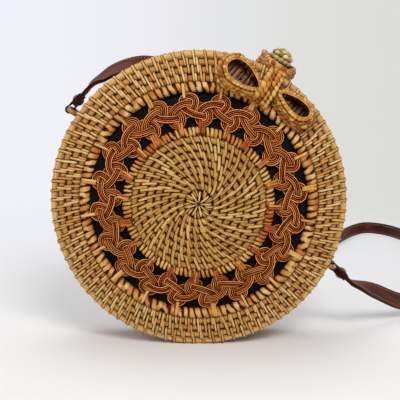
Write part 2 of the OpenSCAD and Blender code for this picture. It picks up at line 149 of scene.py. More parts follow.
def new_finish(name, **constants):
    """A material, and a Value to start its maths from. Constants go on the shader's sockets."""
    made = bpy.data.materials.new(name)
    made.use_nodes = True
    shader = made.node_tree.nodes["Principled BSDF"]
    for socket, value in constants.items():
        shader.inputs[socket.replace("_", " ")].default_value = value
    return made, Value(made.node_tree, shader.outputs[0])


def put(finish, **links):
    """Links values to the shader's sockets; a Bump value goes through a Bump node."""
    tree = finish.node_tree
    shader = tree.nodes["Principled BSDF"]
    for socket, value in links.items():
        if socket == "Bump":
            height, strength, distance = value
            value = height.node("Bump", {"Height": height, "Strength": strength,
                                         "Distance": distance})
            socket = "Normal"
        tree.links.new(value.socket, shader.inputs[socket.replace("_", " ")])


# The floor is white paper; from 0.25 m out it fades into the background.
floor_finish, start = new_finish("floor", Roughness=0.9)
place = start.node("TexCoord", out="Object")
spread = place.node("VectorMath", {0: place}, "Value", operation="LENGTH")
faded = spread.between(0.25, 0.75)
# Painted light: the floor's colour grows paler towards the back, where the lamps' light falls off.
front = place.node("SeparateXYZ", {0: place}, "Y").between(-0.3, 0.5, "LINEAR")
put(floor_finish, Base_Color=front.mix("e4e2df", "f2f3f6"))
clear = start.node("BsdfTransparent")
blended = start.node("MixShader", {0: faded, 1: start, 2: clear})
start.tree.links.new(blended.socket, start.tree.nodes["Material Output"].inputs["Surface"])
formed("floor", [(-2, -2, 0), (2, -2, 0), (2, 2, 0), (-2, 2, 0)], [(0, 1, 2, 3)], floor_finish)

# The background is seen by the camera and by reflections; other light from it is plain.
world = bpy.data.worlds.new("studio")
scene.world = world
world.use_nodes = True
background = world.node_tree.nodes["Background"]
sky = Value(world.node_tree, background.outputs[0])
rays = sky.tree.nodes.new("ShaderNodeLightPath").outputs
seen = [Value(sky.tree, rays[f"Is {kind} Ray"]) for kind in ("Camera", "Glossy", "Transmission")]
seen = (seen[0] + seen[1] + seen[2]).clamped()
aside = sky.node("SeparateXYZ", {0: sky.node("TexCoord", out="Generated")}).between(-0.17, 0.19)
backdrop = seen.mix("a5a6a8", aside.mix("f1f1fa", "dcddd8"))
sky.tree.links.new(backdrop.socket, background.inputs["Color"])

for name, place, size, power in (("key", (0.3, -1.15, 1), 0.55, 14.6),
                                 ("fill", (-1.2, -1.1, 0.8), 1, 7.6),
                                 ("top", (-0.1, 0.35, 1.3), 0.9, 6)):
    light = bpy.data.lights.new(name, "AREA")
    light.size, light.energy = size, power
    lamp = placed(name, light, place)
    lamp.rotation_euler = (looked_at - Vector(place)).to_track_quat("-Z", "Y").to_euler()


# ---- The coiled lid and back
# Coils of thick rattan core lie side by side on a dome. Each is bound to the
# one before by narrow splints that pass over two coils, a little aslant.

mm = 0.001
bag_r, coil_r, core_r, coil_step = 100, 2.9, 2.72, 5.6
rim_r, rim_depth = bag_r - coil_r, 3.05
wall_depth = rim_depth + 3 * coil_step
lid_rise, back_rise, dome_power = 20, 9, 2.2
coil_rings, row_splints = 220, 90
bag_middle = np.array([0, 0, bag_r])
dice = np.random.default_rng(11)


def dome(r, rise=lid_rise):
    """How far in front of the bag's middle the coils lie at radius r; slope is the dome's angle."""
    return wall_depth + rise * (1 - (r / rim_r) ** dome_power)


def slope(r, rise=lid_rise):
    return np.arctan(rise * dome_power * (r / rim_r) ** (dome_power - 1) / rim_r)


def outwards(r, turn, depth):
    """Directions from the bag's middle, given as the points of on_bag are."""
    r, turn, depth = np.broadcast_arrays(r, radians(turn), depth)
    return np.stack([r * cos(turn), -depth, r * sin(turn)], -1)


def on_bag(r, turn, depth):
    """Points in mm: radius, angle from the right seen from the front, depth to the front."""
    return bag_middle + outwards(r, turn, depth)


def unit(v):
    return v / np.linalg.norm(v, axis=-1, keepdims=True)


def course(line, closed=False):
    """The direction of a line at each of its points."""
    return unit(np.roll(line, -1, 0) - np.roll(line, 1, 0) if closed else np.gradient(line, axis=0))


def gone(line):
    """The length of a line up to each of its points."""
    return np.concatenate([[0], np.cumsum(np.linalg.norm(np.diff(line, axis=0), axis=1))])


def ring_faces(rings, sides, closed=False):
    """Faces between rings of points, one ring after another."""
    i, j = np.meshgrid(np.arange(rings if closed else rings - 1), np.arange(sides), indexing="ij")
    here, ahead, beside = i * sides, (i + 1) % rings * sides, (j + 1) % sides
    return np.stack([here + j, here + beside, ahead + beside, ahead + j], -1).reshape(-1, 4)


class Work:
    """Strips and tubes of one piece. Each point keeps its place in the strand (grain, mm), the
    strand's tint and how deep it lies in a crevice, for the material; the rattan and plait
    materials paint it as shade."""

    def __init__(self):
        self.points, self.faces, self.grain, self.tint, self.deep, self.count = [], [], [], [], [], 0

    def sweep(self, line, out, section, wide=1, thick=None, closed=False, tint=0.5, deep=0):
        """A section (across, up in mm) carried along a line, its up towards out. Along the line wide
        and thick scale it and tint goes with it; deep is for the line, the section or both."""
        n, k = len(line), len(section)
        along = course(line, closed)
        across = unit(np.cross(np.broadcast_to(out, line.shape), along))
        up = np.cross(along, across)
        wide = np.reshape(wide, (-1, 1))
        thick = wide if thick is None else np.reshape(thick, (-1, 1))
        x, y = (section[:, 0] * wide)[..., None], (section[:, 1] * thick)[..., None]
        points = line[:, None] + across[:, None] * x + up[:, None] * y
        self.faces += (ring_faces(n, k, closed) + self.count).tolist()
        if not closed:
            ends = np.array([range(k)[::-1], range((n - 1) * k, n * k)])
            self.faces += (ends + self.count).tolist()
        length = gone(line) + dice.uniform(0, 400)
        self.points.append(points.reshape(-1, 3))
        self.grain.append(np.concatenate([np.repeat(length, k)[:, None], np.tile(section, (n, 1))], 1))
        tint = np.clip(np.reshape(tint, (-1, 1)), 0, 1)
        self.tint.append(np.broadcast_to(tint, (n, k)).ravel())
        self.deep.append(np.broadcast_to(np.clip(deep, 0, 1), (n, k)).ravel())
        self.count += n * k

    def piece(self, name, body, finish, node=None):
        """All of it as one piece, which rides on the body and stands for the CAD node."""
        made = formed(name, np.concatenate(self.points) * mm, self.faces, finish)
        for label, values in (("grain", self.grain), ("tint", self.tint), ("deep", self.deep)):
            values = np.concatenate(values).astype(np.float32)
            kind = "FLOAT_VECTOR" if values.ndim == 2 else "FLOAT"
            kept = made.data.attributes.new(label, kind, "POINT")
            kept.data.foreach_set("vector" if values.ndim == 2 else "value", values.ravel())
        if body:
            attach(made, body)
        if node:
            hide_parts(node)
        return made


def round_section(r, sides=12):
    a = np.arange(sides) * tau / sides
    return r * np.stack([cos(a), sin(a)], -1)


def cut(corners):
    """A section's corners, from rows of across, up and how deep the corner lies."""
    corners = np.array(corners)
    return corners[:, :2], corners[:, 2]


# A splint's section; its sides and underside carry painted shade.
splint_section, splint_side_shade = cut([
    (-0.5, -0.5, 1), (0.5, -0.5, 1), (0.5, 0, 0.7), (0.4, 0.34, 0.2), (0.17, 0.5, 0), (-0.17, 0.5, 0),
    (-0.4, 0.34, 0.2), (-0.5, 0, 0.7)])
# A splint on a coil has a thin dark flange along both edges: a painted shadow on the coil.
shade_flange_section, shade_flange = cut([
    (-0.68, -0.5, 1.3), (0.84, -0.5, 1.3), (0.82, -0.3, 1.3), (0.5, -0.22, 1.2), (0.5, 0.1, 0.55),
    (0.4, 0.36, 0.15), (0.17, 0.5, 0), (-0.17, 0.5, 0), (-0.4, 0.36, 0.15), (-0.5, 0.1, 0.55),
    (-0.5, -0.22, 1.2), (-0.66, -0.3, 1.3)])


def rattan(name, stops, streaks=0.4, rough=0.36, coat=0.3):
    """Split or whole rattan: long fibres, a tint for each strand, and painted shade in dark brown where
    deep is high.
    """
    made, start = new_finish(name, Coat_Roughness=0.35, Specular_IOR_Level=0.08)
    grain, tint, deep = start.strand()
    fibres = grain.stretched(0.12, 5, 5).noise(1, 3, 0.6)
    blotch = grain.stretched(0.25, 0.6, 0.6).noise(1)
    tone = (tint + (fibres - 0.5) * streaks + (blotch - 0.5) * 0.5).clamped()
    # Painted shade: deep mixes in dark brown, so crevices and sides turned away look shaded.
    colour = deep.mix(tone.node("ValToRGB", {0: tone}, stops=stops), "4c1803")
    put(made, Base_Color=colour, Roughness=(fibres * 0.3 + (rough - 0.15) + deep * 0.2).clamped(),
        Coat_Weight=(1 - deep) * coat, Bump=(fibres, 0.25, 0.0004))
    return made


core_finish = rattan("rattan_core", {0: "69381e", 0.35: "8f5735", 0.65: "ae7c46", 1: "cca464"},
                     streaks=0.5, rough=0.6, coat=0)
splint_finish = rattan("rattan_splint", {0: "a05820", 0.3: "b47a36", 0.6: "c4944c", 1: "d8b478"},
                       rough=0.38, coat=0.25)


def coil(work, r, depth, normal, tint, radius=core_r, rings=coil_rings, shade=0):
    """One round coil with a slightly uneven core. normal is the angle of its outward side. Painted
    shade darkens its sides and back; shade adds to it, and is 1 where a winding hides the coil."""
    turn = np.arange(rings) * 360 / rings
    waves = sum(dice.uniform(0.2, 1) * sin(radians(turn) * k + dice.uniform(0, 6))
                for k in (5, 11, 23))
    line = on_bag(r + 0.05 * waves, turn, depth + 0.05 * np.roll(waves, 40))
    section = round_section(radius)
    # Painted shade: dark on the sides, less dark on the back, none on the outward top.
    deep = np.interp(section[:, 1] / radius, [-0.7, -0.1, 0.46, 0.88], [0.4, 1, 1, 0])
    work.sweep(line, outwards(sin(normal), turn, cos(normal)), section, 1 + 0.02 * waves, closed=True,
               tint=tint + 0.06 * waves, deep=deep + shade)


def over_coils(coils, first, last, radius, thick, dip, tucked, reach):
    """The way of a splint in section, as rows of r, depth and how deep it lies, which is painted
    as shade: out of the groove before the first coil, over it and the next ones, into the groove
    after the last."""
    places = np.array([place[:2] for place in coils])
    padded = np.concatenate([[2 * places[0] - places[1]], places, [2 * places[-1] - places[-2]]])
    ups = np.array([(sin(normal), cos(normal)) for _, _, normal in coils])
    top, half = radius + thick / 2, coil_step / 2 * radius / core_r
    way = []
    for i in range(first, last + 1):
        ahead = half * unit(padded[i + 2] - padded[i])
        steps = [(-0.3, 1.01, 0), (0.3, 1.01, 0)]
        if i == first:
            low, beside, high = (0.1, 0.6, 0.92) if tucked else (0.5, 0.86, 1.04)
            steps = [(-1.08 * reach, low, 0.9), (-reach, beside, 0.3), (-0.7 * reach, high, 0)] + steps
        if i == last:
            steps += [(0.66 * reach, 0.9, 0.15), (0.93 * reach, 0.6, 0.75), (reach, 0.2, 1)]
        way += [(*(places[i] + along * ahead + up * top * ups[i]), deep) for along, up, deep in steps]
        if i < last:
            lift = dip * top * unit(ups[i] + ups[i + 1])
            way += [(*(places[i:i + 2].mean(0) + lift), 0.05)]
    return np.array(way)


def stitch_row(work, coils, first, last, count, row, lean, width=1.5, thick=0.72, radius=core_r,
               tint=(0.35, 0.95), dip=0.9, side=1, odd=0.06, tucked=False, reach=1, start=0):
    """Splints at even steps over coils first to last; side is -1 on the back. Each row stands a little
    clockwise of the one outside it, besides what the lean makes."""
    way = over_coils(coils, first, last, radius, thick, dip, tucked, reach)
    r, depth, deep = way.T
    length = gone(way[:, :2])
    span = 0.5 - length / length[-1]
    fat = np.ones(len(way))
    fat[[0, -1]], fat[[1, -2]] = 0.55, 0.9
    out_r, out_d = (np.interp(span, [-0.5, 0.5], [f(coils[i][2]) for i in (last, first)])
                    for f in (sin, cos))
    for k in range(count):
        turn = start + 360 / count * (k + dice.normal(0, odd))
        turn -= degrees(row * (1.9 + coil_step * tan(radians(lean(turn % 360)))) / rim_r) * side
        slant = radians(lean(turn % 360) + dice.normal(0, 2.5))
        turns = turn + span * degrees(tan(slant) * length[-1] / r.mean()) * side
        work.sweep(on_bag(r, turns, depth * side), outwards(out_r, turns, out_d * side), shade_flange_section,
                   fat * width * dice.uniform(0.82, 1.12), fat * thick, tint=dice.uniform(*tint),
                   deep=deep[:, None] + shade_flange * 0.85)


def winding(work, r, depth, normal, turns, width, thick, tint, radius=core_r, lean=0, spots=None,
            uneven=0):
    """One splint wound closely round a coil, with that many turns and steps in each turn."""
    steps = 10
    a = tau * np.arange(turns * steps) / steps
    tints = dice.uniform(*tint, turns)
    if spots:
        tints = spots(np.arange(turns) * 360 / turns, tints)
    tints, heights, widths, slips = (np.repeat(each, steps) for each in (
        tints, dice.uniform(0.8, 1.15, turns), dice.uniform(1 - uneven, 1 + 0.6 * uneven, turns),
        dice.normal(0, 0.35 * uneven, turns)))
    turn = (a / tau + lean * sin(a) + slips) * 360 / turns
    out_r, out_d, reach = sin(a + normal), cos(a + normal), radius + thick / 2
    # Painted shade on the part of each turn that lies under or behind the coil.
    far_side_shade = np.interp(cos(a), [-0.8, -0.4, -0.15, 0.45], [0.3, 0.8, 1, 0])
    work.sweep(on_bag(r + reach * out_r, turn, depth + reach * out_d), outwards(out_r, turn, out_d),
               splint_section, widths * width * tau * r / turns, thick * heights, closed=True,
               tint=tints, deep=far_side_shade[:, None] + splint_side_shade * 0.9)


def coil_places(r, rise, step, stop):
    """Radius, depth and outward angle of coils laid side by side down a dome."""
    places = []
    while r >= stop:
        places.append((r, dome(r, rise), slope(r, rise)))
        r -= step * cos(slope(r, rise))
    return places


def ring_count(r):
    """A small coil needs fewer rings."""
    return max(24, int(coil_rings * r / bag_r))


walls = [(rim_r, rim_depth + i * coil_step, pi / 2) for i in range(3)]
lid_coils = walls + [(rim_r, wall_depth, radians(48))] + coil_places(rim_r, lid_rise, coil_step, 75)[1:]
border = lid_coils[-1]
border_r = border[0]


def lid_lean(turn):
    """The splints of the lid lean counter-clockwise, except at the lower right."""
    return 8 - 10 * exp(-((turn - 305) / 35) ** 2) - 4 * exp(-((turn - 45) / 25) ** 2)


work = Work()
below = 0.18 * exp(-((np.arange(coil_rings) * 360 / coil_rings - 270) / 40) ** 2)
for i, tint in ((1, 0.75), (2, 0.7), (3, 0.9), (4, 0.64), (5, 0.55), (6, 0.5)):
    coil(work, *lid_coils[i], tint + below, shade=-0.6 if i == 3 else 0)
work.piece("lid_coils", "lid", core_finish, "lid_shell")

work = Work()
stitch_row(work, lid_coils, 1, 2, row_splints, -1, lid_lean, thick=0.5, tucked=True)
for i in (3, 4, 5):
    stitch_row(work, lid_coils, i, i + 1, row_splints, i - 3, lid_lean, tucked=i == 3)
stitch_row(work, lid_coils, 6, 6, row_splints, 3, lid_lean)
work.piece("lid_splints", "lid", splint_finish)


loops, first_loop = 20, 5.6  # of the plait, which the ties follow


def near_ties(turn, tint):
    """The splints beside the ties, one at each loop of the plait, are stained orange."""
    half = 180 / loops
    aside = (turn - first_loop + half) % (2 * half) - half
    return np.where(np.abs(aside) < 1.6, tint * 0.15, tint)


work = Work()
winding(work, *border, 108, width=0.76, thick=1, tint=(0.15, 0.9), spots=near_ties, uneven=0.3)
# The core under the winding is painted dark all over: painted shade between the turns.
coil(work, *border, 0, radius=2.5, shade=1)
work.piece("border_winding", "lid", splint_finish, "ring_border")


def wound_rim(name, body, node, depth):
    """The coil at the mouth of each half is wound closely with a paler splint."""
    work = Work()
    winding(work, rim_r, depth, pi / 2, 280, width=0.88, thick=0.7, tint=(0.4, 0.95), lean=0.8)
    coil(work, rim_r, depth, pi / 2, 0.1, radius=2.5)
    work.piece(name, body, splint_finish, node)


wound_rim("lid_rim_winding", "lid", "lid_rim", rim_depth)

# The back is made the same way, on a flatter dome.
back_corner = (rim_r, wall_depth, radians(60))
back_coils = walls + [back_corner] + coil_places(rim_r, back_rise, coil_step, 2.9)[1:]
work = Work()
for i, tint, shade in ((1, 0.7, 0), (2, 0.7, 0), (3, 0.85, -0.6)):
    r, depth, normal = back_coils[i]
    coil(work, r, -depth, pi - normal, tint, shade=shade)
work.piece("rear_wall_coils", "shell", core_finish, "rear_wall")
work = Work()
for r, depth, normal in back_coils[4:]:
    coil(work, r, -depth, pi - normal, 0.42, rings=ring_count(r))
work.piece("back_coils", "shell", core_finish, "rear_disc")

work = Work()
stitch_row(work, back_coils, 1, 2, row_splints, -1, lid_lean, side=-1, thick=0.5, tucked=True)
for i in range(3, len(back_coils) - 1):
    count = row_splints if i < 9 else 60 if i < 14 else 30 if i < 18 else 15
    stitch_row(work, back_coils, i, i + 1, count, i - 3, lambda turn: 8, side=-1, tucked=i == 3)
hub_r, hub_depth, _ = back_coils[-1]
for k in range(8):
    turn = 45 * k + dice.normal(0, 2) + linspace(0, 24, 6)
    r, lift = linspace(hub_r + 2.4, 0.8, 6), np.array([2, 3, 3.3, 3, 2.2, 0.8])
    work.sweep(on_bag(r, turn, -hub_depth - lift), (0, 1, 0), shade_flange_section, linspace(1.7, 0.6, 6),
               0.7, tint=dice.uniform(0.4, 0.9), deep=shade_flange * 0.7)
work.piece("back_splints", "shell", splint_finish)

wound_rim("rear_rim_winding", "shell", "rear_rim", -rim_depth)


# ---- The medallion
# A coil of thinner core, bound with splints that follow each other in arms
# from those that meet at the middle. Its border is wound with stained splint.

fine_r, fine_core, fine_step = 2.65, 2.45, 5.1
medallion_r = border_r - coil_r - 23.7
medallion_coils = coil_places(medallion_r - fine_r, lid_rise, fine_step, 2.7)
inner_coils = len(medallion_coils) - 1
olive_finish = rattan("olive_splint", {0: "845020", 0.35: "a27438", 0.65: "ba8f4a", 1: "d0b070"},
                      rough=0.45, coat=0.1)
work = Work()
# The innermost coil gets shade 1: painted shade under the splints at the middle.
for i, (r, depth, normal) in enumerate(medallion_coils[1:], 1):
    coil(work, r, depth, normal, 0.42, radius=fine_core, rings=ring_count(r),
         shade=1 if i == inner_coils else 0)
work.piece("medallion_coils", "lid", olive_finish, "medallion")

arm_lean, start = 23, 0
work = Work()
for i, count in zip(range(1, inner_coils), (46, 42, 37, 32, 26, 20, 14)):
    start -= degrees(fine_step * tan(radians(arm_lean)) / medallion_coils[i][0])
    stitch_row(work, medallion_coils, i, min(i + 1, inner_coils - 1), count, 0, lambda turn: arm_lean,
               width=1.75, radius=fine_core, tint=(0.35, 0.86), dip=0.93, odd=0.09, reach=0.76,
               start=start + i % 2 * 180 / count)


def centre_splint(r, turn, lift, wide, thick, tint, deep):
    """A splint near the middle, so far off the dome along its way."""
    work.sweep(on_bag(r, turn, dome(r) + lift), (0, -1, 0), shade_flange_section, wide, thick,
               tint=dice.uniform(*tint), deep=np.array(deep)[:, None] + shade_flange * 0.8)


# The last list of each splint is its painted shade, dark where its ends go under.
for k in range(9):
    turn = 40 * k + dice.normal(0, 2.5)
    centre_splint(np.array([8.4, 7.7, 6.5, 5, 3.4, 1.9, 0.9]), turn, [1.8, 2.9, 3.3, 3.2, 2.8, 2.2, 0.9],
                  [1.2, 1.4, 1.35, 1.25, 1.1, 0.8, 0.5], 0.75, (0.6, 1), [0.6, 0.1, 0, 0, 0, 0.1, 0.8])
    for beside in (13, 26):
        aside = turn + beside + linspace(7, -7, 6) + dice.normal(0, 2)
        centre_splint(np.array([9.9, 9.2, 7.9, 6.2, 5, 4.3]) + dice.normal(0, 0.3), aside,
                      [1.2, 2.6, 3.1, 3.1, 2.5, 1.2], [0.9, 1.2, 1.2, 1.1, 0.9, 0.7], 0.7, (0.3, 0.9),
                      [0.9, 0.2, 0, 0.1, 0.5, 1])
work.piece("medallion_splints", "lid", olive_finish)

stained_finish = rattan("stained_splint", {0: "98441a", 0.4: "ac642c", 0.7: "ba803c", 1: "cca05c"},
                        rough=0.42, coat=0.12)


def stains(turn, tint):
    """The stain is darkest at the upper left and at the right."""
    dark = exp(-((turn - 135) / 22) ** 2) + exp(-((turn - 345) / 30) ** 2)
    return 0.35 * tint + 0.66 - 0.35 * dark + 0.2 * sin(radians(turn * 5))


work = Work()
winding(work, *medallion_coils[0], 104, width=0.76, thick=0.95, tint=(0, 1), radius=fine_core,
        spots=stains, uneven=0.25)
# The core under the winding is painted dark all over: painted shade between the turns.
coil(work, *medallion_coils[0], 0, radius=2.2, shade=1)
work.piece("medallion_border_winding", "lid", stained_finish, "medallion_border")


# ---- The plait
# Two endless strands of four round red-brown ribs each lie in the openwork.
# They cross over and under each other and themselves, in twenty loops.

plait_r, plait_half, loop_steps = 61.63, 9.05, 34
loop_length = tau * plait_r / loops
rib_r, rib_step = 0.53, 1.25


def strand(t, edge):
    """Points of a strand at turns t of its swing: edge is -1 for loops inside, 1 for outside."""
    ahead = loop_length * (t / tau - edge * 0.44 * sin(t))
    r = plait_r + edge * 2.35 + 6.7 * cos(t)
    s = t if edge < 0 else t - pi
    height = 1.05 * sum(size * sin(k * s) for k, size in enumerate((0.2, -0.887, -0.695, 0.129), 1))
    turn = first_loop - degrees(ahead / plait_r)
    rise, level = sin(slope(r)), cos(slope(r))
    return on_bag(r + height * rise, turn, dome(r) + height * level), outwards(rise, turn, level)


plait_finish, start = new_finish("plait_rib", Coat_Roughness=0.3, Specular_IOR_Level=0.04)
grain, tint, deep = start.strand()
fibres = grain.stretched(0.15, 6, 6).noise(1, 3, 0.6)
blotch = grain.stretched(0.06, 0.3, 0.3).noise(1)
# Painted highlight and shade: pale on each rib's crest, dark red down its sides, near black below.
tone = (deep + (0.5 - tint) * 0.3 + (fibres - 0.5) * 0.2 + (blotch - 0.5) * 0.35).clamped()
colour = tone.node("ValToRGB", {0: tone}, stops={0: "eca860", 0.14: "c4601c", 0.27: "781e03",
                                                 0.4: "300500", 0.54: "0a0100"})
put(plait_finish, Base_Color=colour, Roughness=(fibres * 0.2 + 0.28).clamped(),
    Coat_Weight=(1 - deep) * 0.06, Bump=(fibres, 0.12, 0.0003))

work = Work()
t = np.arange(loop_steps * loops) * tau / loop_steps
section = round_section(rib_r)
# deep grows from each rib's crest round to its underside.
deep = np.arccos(section[:, 1] / rib_r) / (pi / 2)
for edge in (-1, 1):
    line, out = strand(t, edge)
    across = unit(np.cross(out, course(line, closed=True)))
    for rib in range(4):
        aside = (rib - 1.5) * rib_step + 0.07 * sin(t * 0.37 + rib * 2) + 0.04 * sin(t * 1.3 + rib)
        lift = 0.08 * sin(t * 0.53 + rib * 3 + edge)
        # The outer two ribs get a paler tone: painted highlight along the strand's edges.
        tint = (0.72 if rib in (0, 3) else 0.4) + 0.22 * sin(t * 0.21 + rib * 1.7 + edge)
        work.sweep(line + across * aside[:, None] + out * lift[:, None], out, section, closed=True,
                   tint=tint, deep=deep)
work.piece("plait_strands", "lid", plait_finish, "plait")


# ---- The ties
# Short splints hold each loop of the plait: pale ones to the coil outside,
# orange ones, two or three side by side, to the border of the medallion.

def tie(work, turn, edge, far, width, tint, slant):
    """A splint from under the strand's edge over it to the crest of the coil at radius far."""
    near = plait_r + edge * plait_half
    r = np.concatenate([near + edge * np.array([-0.4, -1.5, -1.3, 0.4, 2]),
                        far + edge * np.array([-2, -0.4, 1, 2.3])])
    lift = np.array([-1.4, -0.2, 1.1, 1.6, 2, 3, 4.1, 4.1, 2.6])
    # Painted shade at both ends, where the splint goes under.
    deep = np.array([1, 0.8, 0.1, 0, 0, 0, 0, 0.1, 1])
    rise, level = sin(slope(r)), cos(slope(r))
    turns = turn + slant * linspace(-0.5, 0.5, len(r))
    work.sweep(on_bag(r + lift * rise, turns, dome(r) + lift * level), outwards(rise, turns, level),
               splint_section, width, 0.5, tint=tint, deep=deep[:, None] + splint_side_shade * 0.6)


work = Work()
for i in range(loops):
    turn = first_loop + 360 / loops * i + 1.4 + dice.normal(0, 0.5)
    for k in range(1 if i % 3 else 2):
        tie(work, turn + 1.2 * k, 1, border_r, dice.uniform(1.5, 2), dice.uniform(0.35, 0.85),
            dice.normal(0.3, 0.5))
work.piece("outer_tie_splints", "lid", splint_finish, "outer_ties")

orange_finish = rattan("orange_splint", {0: "7a2c0c", 0.4: "a8521a", 0.7: "c07a2e", 1: "d8ac58"},
                       streaks=0.5)
work = Work()
for i in range(loops):
    turn = first_loop + 360 / loops * (i - 0.5) + dice.normal(0, 0.7)
    for k in range(2 + i % 2):
        tie(work, turn + 1.75 * k - 1.2, -1, medallion_coils[0][0], dice.uniform(1.2, 1.6),
            dice.uniform(0.1, 0.85), dice.normal(0.4, 0.6))
work.piece("inner_tie_splints", "lid", orange_finish, "inner_ties")


# ---- The bow
# A strip woven of orange-brown splints stands on its edge, bent into two loops.
# A band of the same weave covers the crossing. Slats stand inside the loops.

clasp_turn = 59
bow_r, strip_h = 0.89 * rim_r, 10
bow_lean = slope(bow_r)
rim_way, out_way = outwards(1, clasp_turn - 90, 0), outwards(1, clasp_turn, 0)
front_way = np.array([0, -1, 0])
bow_away = out_way * cos(bow_lean) - front_way * sin(bow_lean)
bow_up = front_way * cos(bow_lean) + out_way * sin(bow_lean)
bow_foot = bag_middle + out_way * bow_r + front_way * dome(bow_r) + bow_up * 3.2


def spanned(ways, *lengths):
    """The sum of a length along each way."""
    return np.stack(np.broadcast_arrays(*lengths), -1) @ np.array(ways)


def on_bow(x, y, up):
    """Points on the bow in mm: along the rim, outwards, and off the lid."""
    return bow_foot + spanned((rim_way, bow_away, bow_up), x, y, up)


def evenly(line, count, closed=True):
    """A line through the same places with count even steps, and its length."""
    whole = np.concatenate([line, line[:1]]) if closed else line
    length = gone(whole)
    at = linspace(0, length[-1], count, endpoint=not closed)
    return np.stack([np.interp(at, length, column) for column in whole.T], -1), length[-1]


def twined(work, line, out, reach, thick, uneven, wave=6.4, tint=(0.35, 0.95), closed=True, row=0):
    """Two splints twisted round each other along a line, with knobs towards out. The knobs of an odd
    row stand between those of an even one."""
    steps = 10
    waves = max(2, round(evenly(line, 4, closed)[1] / wave))
    both = np.concatenate([line, np.broadcast_to(out, line.shape)], 1)
    line, out = np.split(evenly(both, waves * steps, closed)[0], 2, 1)
    side = unit(np.cross(out, course(line, closed)))
    knob = 1 + uneven * np.repeat(np.clip(dice.normal(0, 1, waves), -1.3, 1.3), steps)
    start = pi / 2 * (row % 2) + dice.normal(0, 0.25)
    section = round_section(thick / 2, 8)
    for half in (0, pi):
        a = tau / steps * np.arange(waves * steps) + half + start
        towards, beside = (reach * knob * cos(a))[:, None], (0.35 * reach * sin(a))[:, None]
        shades = np.repeat(dice.uniform(*tint) + dice.normal(0, 0.2, waves), steps)
        # Painted shade: each knob darkens where it turns away and on the lower half of its section.
        deep = np.maximum(1.2 * (0.6 - cos(a))[:, None], 1.5 * (0.5 - section[:, 1] / thick * 2))
        work.sweep(line + out * towards + side * beside, out, section, knob * (0.8 + 0.3 * cos(a)),
                   closed=closed, tint=shades, deep=deep)


def rotated(x, y, angle):
    c, s = cos(radians(angle)), sin(radians(angle))
    return x * c - y * s, x * s + y * c


bow_finish = rattan("orange_weave", {0: "702e0a", 0.35: "985418", 0.65: "b67a2a", 1: "d4a656"},
                    streaks=0.45)
slat_finish = rattan("brown_slat", {0: "34150a", 0.5: "643420", 1: "9c6442"}, rough=0.4)


def bow_loop(name, long, wide, middle, droop, mirror, tilt=0):
    """One loop of the strip, its middle so far from the band; mirror is -1 for the loop at the left."""
    count = 72

    def outline(grow, up):
        a = np.arange(count) * tau / count
        x, y = (long / 2 + grow) * cos(a), (wide / 2 + grow) * sin(a) * (1 + 0.35 * cos(a))
        x, y = rotated(x, y, tilt)
        x, y = rotated(middle + x, y, -droop)
        line = on_bow(mirror * x, y, up)
        return line, unit(np.cross(course(line, closed=True), bow_up)) * mirror

    work = Work()
    for row, (up, grow) in enumerate(((0.9, 0), (3.9, -0.6), (6.9, -1.2))):
        twined(work, *outline(grow, up), reach=1.05, thick=3.2, uneven=0.22, wave=6.3, row=row)
    line, out = outline(-1.75, 9.2)
    twined(work, line, out * 0.5 + bow_up * 0.85, reach=0.5, thick=2, uneven=0.2, wave=5, tint=(0.6, 1))
    work.sweep(outline(-2.75, strip_h - 0.1)[0], bow_up, round_section(0.55, 8) * (1, 0.9), closed=True,
               tint=0.8 + 0.15 * sin(np.arange(count) * 0.6), deep=0.1)
    work.piece(name + "_weave", "lid", bow_finish, name + "_loop")

    # A dark strip backs the weave, and slats stand round it and lie side by side behind it.
    work = Work()
    line, out = outline(-1.5, strip_h / 2)
    flat = np.array([(-0.5, -0.5), (0.5, -0.5), (0.5, 0.5), (-0.5, 0.5)])
    # The strip's dark colour is painted shade inside the loop.
    work.sweep(line, -out, flat * (strip_h - 0.8, 0.5), closed=True, tint=0.2, deep=0.6)
    line, out = outline(-2.35, 0)
    standing = round(evenly(line, 4)[1] / 3.7)
    feet, aways = np.split(evenly(np.concatenate([line, out], 1), standing)[0], 2, 1)
    up = linspace(0.2, strip_h - 0.3, 5)
    for foot, away in zip(feet, aways):
        leaning = bow_up + dice.normal(0, 0.05) * np.cross(bow_up, away)
        # Each standing slat is painted darker towards its foot: painted shade.
        work.sweep(foot + spanned([leaning], up), -away, splint_section * (dice.uniform(2.5, 3.2), 0.8),
                   tint=dice.uniform(0.1, 0.9), deep=splint_side_shade * 0.9 + linspace(0.5, 0, 5)[:, None])
    line, level = outline(-2.6, 0.7)[0], outline(0, 0)[0]
    centre, level = line.mean(0), unit(level[0] - level[count // 2])
    beside = np.cross(bow_up, level)
    ahead, aside = (line - centre) @ level, (line - centre) @ beside
    for x in np.arange(ahead.min() + 1.6, ahead.max() - 1, 3.1):
        reach = aside[np.abs(ahead - x) < 1.6]
        path = centre + spanned([level, beside], x, linspace(reach.min(), reach.max(), 6))
        work.sweep(path, bow_up, splint_section * (dice.uniform(2.3, 2.9), 0.8), tint=dice.uniform(0, 1),
                   deep=splint_side_shade * 0.8)
    work.piece(name + "_slats", "lid", slat_finish)


bow_loop("bow_left", 31, 19.5, 18.8, 12, -1, tilt=22)
bow_loop("bow_right", 29, 15.5, 20.6, 9, 1)

work = Work()
a = linspace(-0.04, pi + 0.04, 60)
arch_y, arch_up = (np.sign(f(a)) * np.abs(f(a)) ** 0.62 for f in (cos, sin))
for row, x in enumerate((-4.4, -1.5, 1.5, 4.4)):
    swell = 0.35 * (1 - abs(x) / 5)
    line = on_bow(x, (10.7 + swell) * arch_y, (11.9 + swell) * np.maximum(arch_up, -0.05))
    out = spanned((bow_away, bow_up), cos(a), sin(a))
    twined(work, line, out, reach=1.15, thick=3.1, uneven=0.2, closed=False, row=row)
work.piece("bow_band_weave", "lid", bow_finish, "bow_band")


